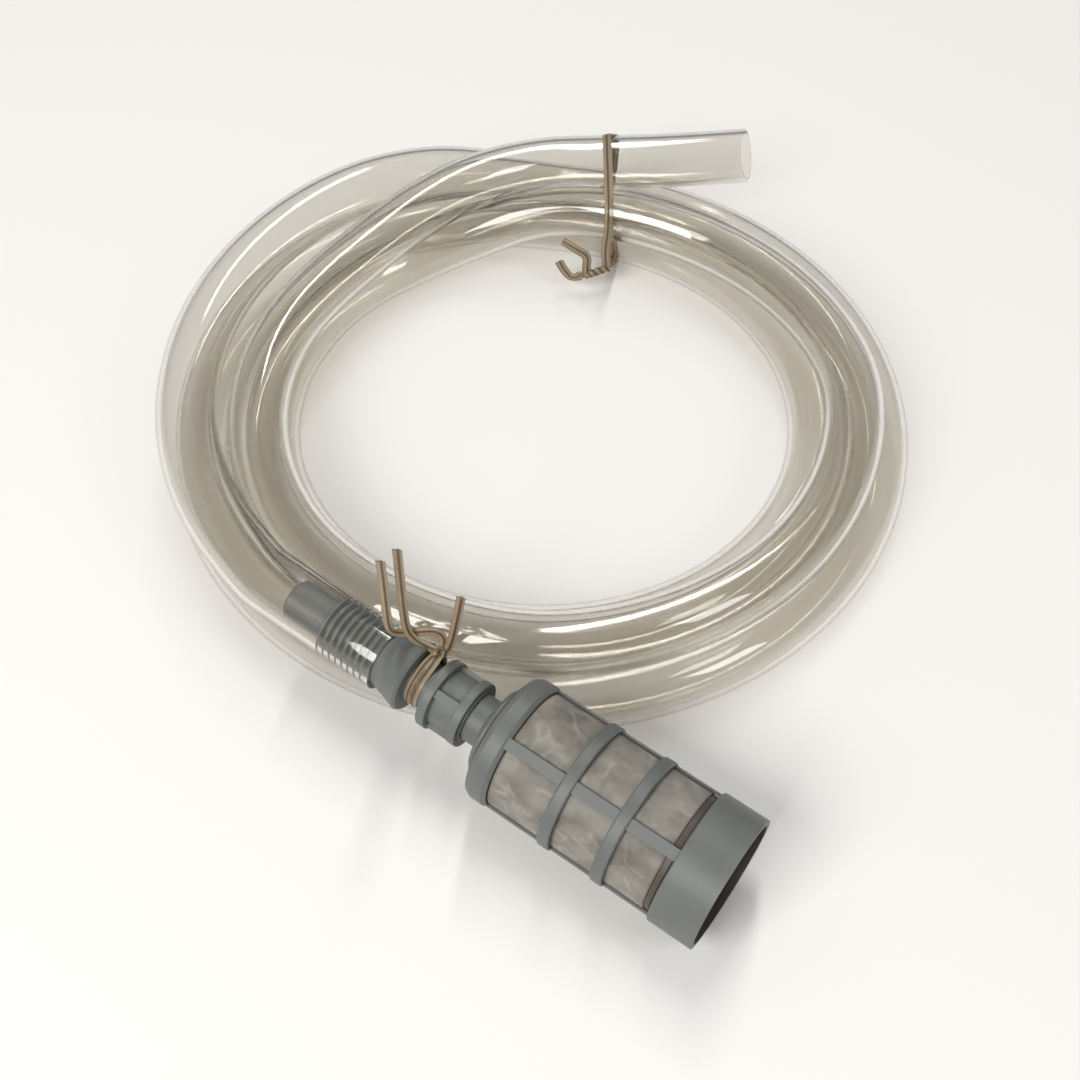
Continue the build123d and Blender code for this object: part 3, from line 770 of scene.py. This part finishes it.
@dataclass
class FilterCloth:
    """The cartridge's sleeve of fine mesh: held by two bands and four bars, and slack between.

    Its sizes are in millimetres, and its angles in degrees.
    """

    start: float = 15.5  # along the nozzle, from the mouth
    end: float = 63.8
    radius: float = 17.1
    thickness: float = 0.22
    slack: float = 0.9  # how far it sags in between the bars
    band: float = 4.3  # how far each band holds it out
    band_fade: float = 5.0  # from there to where it sags freely
    bar_turn: float = -28.0  # from straight up to the first bar, towards the coil
    bar_pitch: float = 90.0  # from one bar to the next
    bar_hold: float = 11.0  # how far beside its middle each bar holds it out
    bar_fade: float = 20.0  # from there to where it sags freely
    swell: float = 9.0  # from one soft hollow to the next
    crease: tuple[float, float] = (11.0, 4.5)  # along the nozzle and across it
    sag_shares: tuple[float, float, float] = (0.3, 0.5, 0.5)  # even, in swells, in creases
    around: int = 168  # faces round it
    down: int = 64  # faces along it

    def sag(self, place: float, angle: float) -> float:
        """Give how far the cloth hangs in at a place, in millimetres."""
        edge = min(place - self.start, self.end - place) - self.band
        held = min(max(edge / self.band_fade, 0.0), 1.0)
        half = self.bar_pitch / 2
        from_bar = abs((angle - self.bar_turn + half) % self.bar_pitch - half)
        free = min(max((from_bar - self.bar_hold) / self.bar_fade, 0.0), 1.0)
        spot = round_the_nozzle(place, angle, self.radius) / MM
        swell = 0.5 + 0.5 * noise.noise(spot / self.swell)
        long, short = self.crease
        crease = abs(noise.noise(Vector((spot.x / long, spot.y / short, spot.z / short))))
        even, swells, creases = self.sag_shares
        return self.slack * held * free * (even + swells * swell + creases * crease)

    def build(self) -> bpy.types.Object:
        """Returns:
            The sleeve's mesh.
        """
        bpy.ops.object.select_all(action="DESELECT")
        bpy.ops.mesh.primitive_grid_add(
            x_subdivisions=self.around, y_subdivisions=self.down, size=1.0
        )
        sleeve = bpy.context.object
        sleeve.name = "filter_cloth"
        length = self.end - self.start
        girth = 2 * math.pi * self.radius
        for vertex in sleeve.data.vertices:
            angle = 180 + 360 * (vertex.co.x + 0.5)
            place = self.start + length * (vertex.co.y + 0.5)
            vertex.co = round_the_nozzle(place, angle, self.radius - self.sag(place, angle % 360))
        for corner in sleeve.data.uv_layers[0].data:
            corner.uv = (corner.uv.x * girth * MM, corner.uv.y * length * MM)
        select_only(sleeve)
        bpy.ops.object.mode_set(mode="EDIT")
        bpy.ops.mesh.select_all(action="SELECT")
        bpy.ops.mesh.remove_doubles(threshold=0.01 * MM)
        bpy.ops.mesh.normals_make_consistent(inside=False)
        bpy.ops.object.mode_set(mode="OBJECT")
        cloth = sleeve.modifiers.new("cloth", "SOLIDIFY")
        cloth.thickness = self.thickness * MM
        cloth.offset = -1.0
        bpy.ops.object.modifier_apply(modifier=cloth.name)
        bpy.ops.object.shade_smooth()
        sleeve.data.materials.clear()
        sleeve.data.materials.append(NylonMesh(Weave.MAPPED).material())
        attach(sleeve, "cartridge")
        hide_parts("filter_mesh")
        return sleeve


# ---- Twist ties ----------------------------------------------------------------------------------
@dataclass
class Strand:
    """One strip of a twist tie: its points, in metres, and the way its flat side faces at each."""

    points: list[Vector]
    faces: list[Vector]


@dataclass
class TwistTie:
    """A strip of film pressed over a wire, which is laid, wound and twisted as its strands say.

    Its sizes are in millimetres.
    """

    name: str
    replaced: str
    width: float = 3.2
    film: float = 0.3
    ridge: float = 0.84  # thickness over the wire
    ridge_place: float = 0.2  # from the strip's middle
    ridge_foot: float = 0.5  # across from the ridge's top to the flat film
    shoulder: tuple[float, float] = (0.26, 0.87)  # across from that top, and share of its height

    def profile(self) -> list[tuple[float, float]]:
        """Give the outline of the strip's section, in millimetres across and out."""
        half, flat, high, at = self.width / 2, self.film / 2, self.ridge / 2, self.ridge_place
        foot, (beside, share) = self.ridge_foot, self.shoulder
        upper = [
            (half, flat),
            (at + foot, flat),
            (at + beside, high * share),
            (at, high),
            (at - beside, high * share),
            (at - foot, flat),
            (-half, flat),
        ]
        return upper + [(x, -y) for x, y in reversed(upper)]

    def sweep(self, strand: Strand, target: bmesh.types.BMesh) -> None:
        """Add a strand to the tie's mesh.

        Args:
            strand: The strand to add.
            target: The mesh that it goes into.
        """
        line = smooth_line("strand", strand.points, 8)
        path, curve = path_along(line), line.data
        bpy.data.objects.remove(line)
        bpy.data.curves.remove(curve)
        # A spline of this order passes nearest to its points at these values of its run.
        last = len(strand.points) - 2
        marks = [0.0] + [step + 0.5 for step in range(last)] + [float(last)]
        map_layer = target.loops.layers.uv.verify()
        outline = self.profile()
        count = len(outline)
        rings, runs, run = [], [], 0.0
        for number, place in enumerate(path):
            before = path[max(number - 1, 0)]
            ahead = path[min(number + 1, len(path) - 1)] - before
            ahead.normalize()
            here = number / (len(path) - 1) * last
            for low in range(len(marks) - 1):
                if here <= marks[low + 1] + 1e-6:
                    break
            share = (here - marks[low]) / (marks[low + 1] - marks[low])
            facing = strand.faces[low].lerp(strand.faces[low + 1], share)
            side = ahead.cross(facing).normalized()
            out = side.cross(ahead)
            rings.append([target.verts.new(place + (side * x + out * y) * MM) for x, y in outline])
            run += (place - before).length
            runs.append(run)
        for low in range(len(rings) - 1):
            for here in range(count):
                after, high = (here + 1) % count, low + 1
                corners = ((low, here), (low, after), (high, after), (high, here))
                face = target.faces.new([rings[ring][corner] for ring, corner in corners])
                for loop, (ring, corner) in zip(face.loops, corners):
                    loop[map_layer].uv = (outline[corner][0] * MM, runs[ring])
        for ring in (rings[0], rings[-1]):
            target.faces.new(ring)

    def build(self, strands: list[Strand]) -> bpy.types.Object:
        """Make the tie from its strands.

        Args:
            strands: The strips that it is laid in.

        Returns:
            The tie's mesh.
        """
        shape = bmesh.new()
        for strand in strands:
            self.sweep(strand, shape)
        mesh = bpy.data.meshes.new(self.name)
        shape.to_mesh(mesh)
        shape.free()
        tie = bpy.data.objects.new(self.name, mesh)
        bpy.context.scene.collection.objects.link(tie)
        recalculate_outside(tie)
        select_only(tie)
        bpy.ops.object.shade_smooth_by_angle(angle=math.radians(50))
        mesh.materials.append(TiePlastic().material())
        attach(tie, "hose")
        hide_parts(self.replaced)
        return tie


def twisted(start: Vector, end: Vector, turns: float, radius: float, phase: float) -> Strand:
    """Wind one strand of a twist round a straight line.

    Args:
        start: Where the line starts.
        end: Where it ends.
        turns: How many turns the strand makes.
        radius: Its distance from the line, in millimetres.
        phase: Share of a turn at which it starts.

    Returns:
        The strand.
    """
    ahead = (end - start).normalized()
    first = ahead.orthogonal().normalized()
    second = ahead.cross(first)
    strand = Strand([], [])
    steps = max(int(turns * TWIST_STEPS), 2)
    for step in range(steps + 1):
        angle = 2 * math.pi * (phase + turns * step / steps)
        out = first * math.cos(angle) + second * math.sin(angle)
        strand.points.append(start.lerp(end, step / steps) + out * radius * MM)
        strand.faces.append(out)
    return strand


@dataclass
class CoilTie(TwistTie):
    """The tie at the coil's far side, which holds every turn and the hose's free end.

    Its places are distances from the coil's axis: right, back and up.
    """

    name: str = "coil_twist_tie"
    replaced: str = "twist_tie_coil"
    right: float = 24.0  # the loop's place across the coil
    lean: float = 3.4  # how much further right the loop's first half stands
    lean_until: float = 400.0  # the angle at which that half ends
    hold: float = 9.78  # from a tube's centre to the strip's middle
    stand_out: float = 1.03  # a smooth line passes inside its points, so they stand out by this
    # The bundle's outer tubes, back from the coil's axis and up, and the angles at which the strip
    # lies on each, from straight back, the way the loop is wound.
    bundle: tuple[tuple[float, float, tuple[float, ...]], ...] = (
        (88.3, 9.9, (235, 265)),
        (107.9, 9.9, (275, 305, 335, 365)),
        (104.5, 28.8, (365, 395, 425, 455)),
        (80.0, 26.7, (455, 485, 515, 545)),
    )
    loop_end: tuple[float, float, float] = (23.0, 69.0, 17.0)
    knot: tuple[float, float, float] = (24.0, 68.7, 10.0)
    twist_end: tuple[float, float, float] = (16.4, 67.3, 8.0)
    twist_turns: float = 1.75
    twist_radius: float = 0.75
    low_tail: tuple[tuple[float, float, float], ...] = (
        (13.0, 67.9, 6.2),
        (9.8, 68.9, 6.2),
        (6.8, 70.2, 12.0),
    )
    high_tail: tuple[tuple[float, float, float], ...] = (
        (16.6, 68.3, 11.0),
        (17.0, 69.1, 15.5),
        (13.0, 69.3, 18.2),
        (8.0, 72.0, 20.0),
    )
    high_tail_turn: float = 0.2  # how much the high tail's flat side faces right

    def strands(self) -> list[Strand]:
        """Lay the loop, the twist and the two tails."""
        back = across_the_coil(0, 1, 0) - across_the_coil(0, 0, 0)
        back.normalize()
        right = (across_the_coil(1, 0, 0) - across_the_coil(0, 0, 0)).normalized()
        up = Vector((0.0, 0.0, 1.0))
        knot = across_the_coil(*self.knot)
        loop = Strand([knot], [-back])
        for place, height, angles in self.bundle:
            for degrees in angles:
                angle = math.radians(degrees)
                out = back * math.cos(angle) + up * math.sin(angle)
                lean = self.lean if degrees < self.lean_until else 0.0
                centre = across_the_coil(self.right + lean, place, height)
                loop.points.append(centre + out * self.hold * self.stand_out * MM)
                loop.faces.append(out)
        loop.points += [across_the_coil(*self.loop_end), knot]
        loop.faces += [-back, -back]
        end = across_the_coil(*self.twist_end)
        first, second = (
            twisted(knot, end, self.twist_turns, self.twist_radius, phase) for phase in (0.0, 0.5)
        )
        for strand, tail, facing in (
            (first, self.low_tail, -back),
            (second, self.high_tail, -back + right * self.high_tail_turn),
        ):
            strand.points += [across_the_coil(*place) for place in tail]
            strand.faces += [facing] * len(tail)
        return [loop, first, second]


@dataclass
class NeckTie(TwistTie):
    """The tie wound round the hose tail's spigot, with its loop and tails standing up.

    Its places are distances from the coil's axis: right, back and up.
    """

    name: str = "neck_twist_tie"
    replaced: str = "twist_tie_neck"
    width: float = 2.5
    hold: float = 6.75  # from the nozzle's axis to the strip's middle
    winds: tuple[float, ...] = (96.3, 98.0)  # places along the nozzle
    # Where a turn's points lie, in degrees from straight up. They stand out by a share, as a smooth
    # line passes inside its points: more for the first, by the knot, than where the turn is tight.
    wind_angles: tuple[float, ...] = (20, -10, -40, -75, -110, -145, -180, -215, -250, -285)
    near_share: float = 1.25
    tight_share: float = 1.05
    knot: tuple[float, float, float] = (-26.5, -110.0, 34.0)
    # The loop that is pressed flat and two tails, as they stand up from the knot.
    tails: tuple[tuple[tuple[float, float, float], ...], ...] = (
        (
            (-26.5, -110.0, 34.0),
            (-25.4, -108.2, 36.6),
            (-28.0, -107.0, 38.8),
            (-33.0, -107.0, 38.2),
            (-38.6, -107.6, 38.4),
            (-40.4, -108.6, 42.0),
            (-40.2, -109.0, 52.0),
            (-39.9, -109.3, 63.0),
            (-39.8, -109.5, 73.4),
        ),
        (
            (-27.5, -110.6, 34.2),
            (-31.0, -109.4, 35.2),
            (-34.4, -108.2, 37.0),
            (-35.9, -107.6, 41.0),
            (-35.9, -107.7, 52.0),
            (-35.7, -107.9, 64.0),
            (-35.5, -108.0, 76.2),
        ),
        (
            (-27.4, -111.0, 32.6),
            (-25.6, -110.4, 33.2),
            (-24.0, -109.8, 36.5),
            (-22.4, -109.4, 45.0),
            (-21.2, -109.1, 52.0),
            (-20.4, -109.0, 57.2),
        ),
    )
    # The twist at the knot, in metres from it: where it starts and where it ends.
    twist: tuple[tuple[float, float, float], ...] = ((0.0, 0.0016, -0.0012), (0.0, -0.0022, 0.0014))

    def strands(self) -> list[Strand]:
        """Lay the turns round the spigot, the knot and the three tails."""
        towards = Vector((0.0, -0.45, 0.9)).normalized()
        front = (across_the_coil(0, -1, 0) - across_the_coil(0, 0, 0)).normalized()
        knot = across_the_coil(*self.knot)
        strands = []
        for place in self.winds:
            wind = Strand([knot], [towards])
            for angle in self.wind_angles:
                radius = self.hold * (self.tight_share if angle < 10 else self.near_share)
                spot = round_the_nozzle(place, angle, radius)
                wind.points.append(spot)
                wind.faces.append((spot - along(place)).normalized())
            wind.points.append(knot)
            wind.faces.append(-front)
            strands.append(wind)
        for places in self.tails:
            points = [across_the_coil(*place) for place in places]
            strands.append(Strand(points, [front * 0.8 + towards * 0.6] * len(points)))
        start, end = (knot + Vector(offset) for offset in self.twist)
        strands.append(twisted(start, end, turns=1.0, radius=0.7, phase=0.2))
        return strands


# ---- Studio --------------------------------------------------------------------------------------
@dataclass(frozen=True)
class Lamp:
    """One soft lamp: where it is and what it faces in metres, its two sides, watts and colour."""

    name: str
    place: tuple[float, float, float]
    aim: tuple[float, float, float]
    size: tuple[float, float]
    power: float
    colour: str

    def build(self) -> None:
        """Make the lamp."""
        data = bpy.data.lights.new(self.name, "AREA")
        data.shape = "RECTANGLE"
        data.size, data.size_y = self.size
        data.energy = self.power
        data.color = linear(self.colour)[:3]
        lamp = bpy.data.objects.new(self.name, data)
        bpy.context.scene.collection.objects.link(lamp)
        lamp.location = self.place
        direction = Vector(self.aim) - Vector(self.place)
        lamp.rotation_euler = direction.to_track_quat("-Z", "Y").to_euler()


@dataclass
class Studio:
    """The pale floor, the soft light and the camera. Its sizes are in metres."""

    floor: str = "#F3F2EF"
    floor_size: float = 8.0
    floor_drop: float = 0.0002  # how far it lies under the object
    floor_roughness: float = 0.9
    floor_gloss: float = 0.28
    lens: float = 48.2  # millimetres, as is the sensor
    sensor: float = 36.0
    nearest: float = 0.01  # what is nearer than this is not drawn
    camera_place: tuple[float, float, float] = (0.1191, -0.1535, 0.3625)
    camera_aim: tuple[float, float, float] = (-0.0400, 0.0745, 0.0)
    room: str = "#F4F6FA"
    room_strength: float = 0.28
    lamps: tuple[Lamp, ...] = (
        Lamp("ceiling lamp", (-0.35, 0.75, 1.6), (-0.05, 0.08, 0), (0.14, 1.1), 11.0, "#FFFDF8"),
        Lamp("front lamp", (-0.15, -1.15, 1.05), (-0.05, 0.05, 0), (0.8, 0.8), 18.0, "#FFFDFA"),
        Lamp("side lamp", (1.3, 0.1, 1.2), (0, 0.05, 0), (0.5, 0.5), 4.5, "#FFFFFF"),
    )

    def add_camera(self) -> None:
        """Make the camera and set it as the scene's."""
        data = bpy.data.cameras.new("camera")
        data.lens = self.lens
        data.sensor_width = self.sensor
        data.clip_start = self.nearest
        camera = bpy.data.objects.new("camera", data)
        bpy.context.scene.collection.objects.link(camera)
        camera.location = self.camera_place
        direction = Vector(self.camera_aim) - Vector(self.camera_place)
        camera.rotation_euler = direction.to_track_quat("-Z", "Y").to_euler()
        bpy.context.scene.camera = camera

    def add_floor(self) -> None:
        """Make the pale floor."""
        bpy.ops.object.select_all(action="DESELECT")
        bpy.ops.mesh.primitive_plane_add(size=self.floor_size, location=(0, 0, -self.floor_drop))
        floor = bpy.context.object
        floor.name = "floor"
        settings = {
            "Base Color": linear(self.floor),
            "Roughness": self.floor_roughness,
            "Specular IOR Level": self.floor_gloss,
        }
        floor.data.materials.append(new_material("pale floor paper", settings)[0])

    def add_light(self) -> None:
        """Make the room's even light and the lamps."""
        world = bpy.data.worlds.new("room")
        world.use_nodes = True
        background = world.node_tree.nodes["Background"]
        background.inputs["Color"].default_value = linear(self.room)
        background.inputs["Strength"].default_value = self.room_strength
        bpy.context.scene.world = world
        for lamp in self.lamps:
            lamp.build()
        bpy.context.scene.view_settings.view_transform = "Standard"


def main() -> None:
    """Build the siphon's looks, sub-assembly by sub-assembly."""
    logging.basicConfig(level=logging.INFO, format="%(message)s")
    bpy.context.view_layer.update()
    studio = Studio()
    studio.add_camera()
    ties = []
    for tie in (CoilTie(), NeckTie()):
        ties.append(tie.build(tie.strands()))
    for piece in (*ties, Hose().build(ties), FilterCloth().build()):
        LOG.info("%s: %d faces", piece.name, len(piece.data.polygons))
    Nozzle().build()
    studio.add_floor()
    studio.add_light()


if __name__ == "__main__":
    main()
